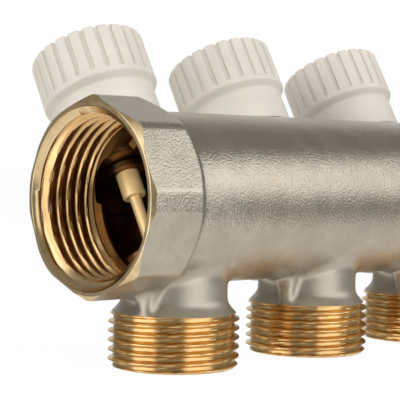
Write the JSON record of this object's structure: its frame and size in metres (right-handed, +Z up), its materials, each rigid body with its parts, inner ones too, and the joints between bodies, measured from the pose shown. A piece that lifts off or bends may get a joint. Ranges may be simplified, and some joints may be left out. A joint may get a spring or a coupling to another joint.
{
  "type": "underfloor heating manifold",
  "caption": "Nickel-plated brass manifold bar with threaded outlets below and a capped shut-off valve leaning back over each outlet.",
  "frame": {"origin": "centre of the bounding box's bottom face, in the plane of the outlets' end faces", "axes": "+X along the bar, away from the octagonal internally threaded end; +Z up, against the outlets; +Y back, the way the valves lean"},
  "size_m": [0.134, 0.0582, 0.0677],
  "materials": {
    "nickel": "nickel-plated, bead-blasted forging with bare brass threads and bores",
    "brass": "machined",
    "stainless": "drawn wire and stamped washer",
    "black_rubber": "matte",
    "white_plastic": "moulded, satin"
  },
  "bodies": {
    "manifold": {"manifold_bar": "nickel", "end_o_ring": "black_rubber", "valve_insert_1": "brass", "insert_o_ring_1": "black_rubber", "stem_guide_1": "brass", "stem_o_ring_1": "black_rubber", "return_spring_1": "stainless", "valve_insert_2": "brass", "insert_o_ring_2": "black_rubber", "stem_guide_2": "brass", "stem_o_ring_2": "black_rubber", "return_spring_2": "stainless", "valve_insert_3": "brass", "insert_o_ring_3": "black_rubber", "stem_guide_3": "brass", "stem_o_ring_3": "black_rubber", "return_spring_3": "stainless"},
    "spindle_1": {"stem_1": "brass", "spring_retainer_1": "stainless", "valve_disc_1": "brass", "seat_seal_1": "black_rubber"},
    "cap_1": {"valve_cap_1": "white_plastic"},
    "spindle_2": {"stem_2": "brass", "spring_retainer_2": "stainless", "valve_disc_2": "brass", "seat_seal_2": "black_rubber"},
    "cap_2": {"valve_cap_2": "white_plastic"},
    "spindle_3": {"stem_3": "brass", "spring_retainer_3": "stainless", "valve_disc_3": "brass", "seat_seal_3": "black_rubber"},
    "cap_3": {"valve_cap_3": "white_plastic"}
  },
  "joints": [
    {"name": "spindle_slide_1", "type": "slide", "parent": "manifold", "child": "spindle_1", "axis": [0, 0.4894, 0.8721], "range_m": [-0.0025, 0], "deforming": ["return_spring_1"]},
    {"name": "cap_turn_1", "type": "hinge", "parent": "spindle_1", "child": "cap_1", "pos_m": [-0.0449, 0.0024, 0.0328], "axis": [0, 0.4894, 0.8721], "range_deg": [-720, 0]},
    {"name": "spindle_slide_2", "type": "slide", "parent": "manifold", "child": "spindle_2", "axis": [0, 0.4894, 0.8721], "range_m": [-0.0025, 0], "deforming": ["return_spring_2"]},
    {"name": "cap_turn_2", "type": "hinge", "parent": "spindle_2", "child": "cap_2", "pos_m": [-0.0069, 0.0024, 0.0328], "axis": [0, 0.4894, 0.8721], "range_deg": [-720, 0]},
    {"name": "spindle_slide_3", "type": "slide", "parent": "manifold", "child": "spindle_3", "axis": [0, 0.4894, 0.8721], "range_m": [-0.0025, 0], "deforming": ["return_spring_3"]},
    {"name": "cap_turn_3", "type": "hinge", "parent": "spindle_3", "child": "cap_3", "pos_m": [0.0311, 0.0024, 0.0328], "axis": [0, 0.4894, 0.8721], "range_deg": [-720, 0]}
  ],
  "couplings": [
    {"joint": "spindle_slide_1", "follows": "cap_turn_1", "m_per_rad": 0.00019894},
    {"joint": "spindle_slide_2", "follows": "cap_turn_2", "m_per_rad": 0.00019894},
    {"joint": "spindle_slide_3", "follows": "cap_turn_3", "m_per_rad": 0.00019894}
  ]
}
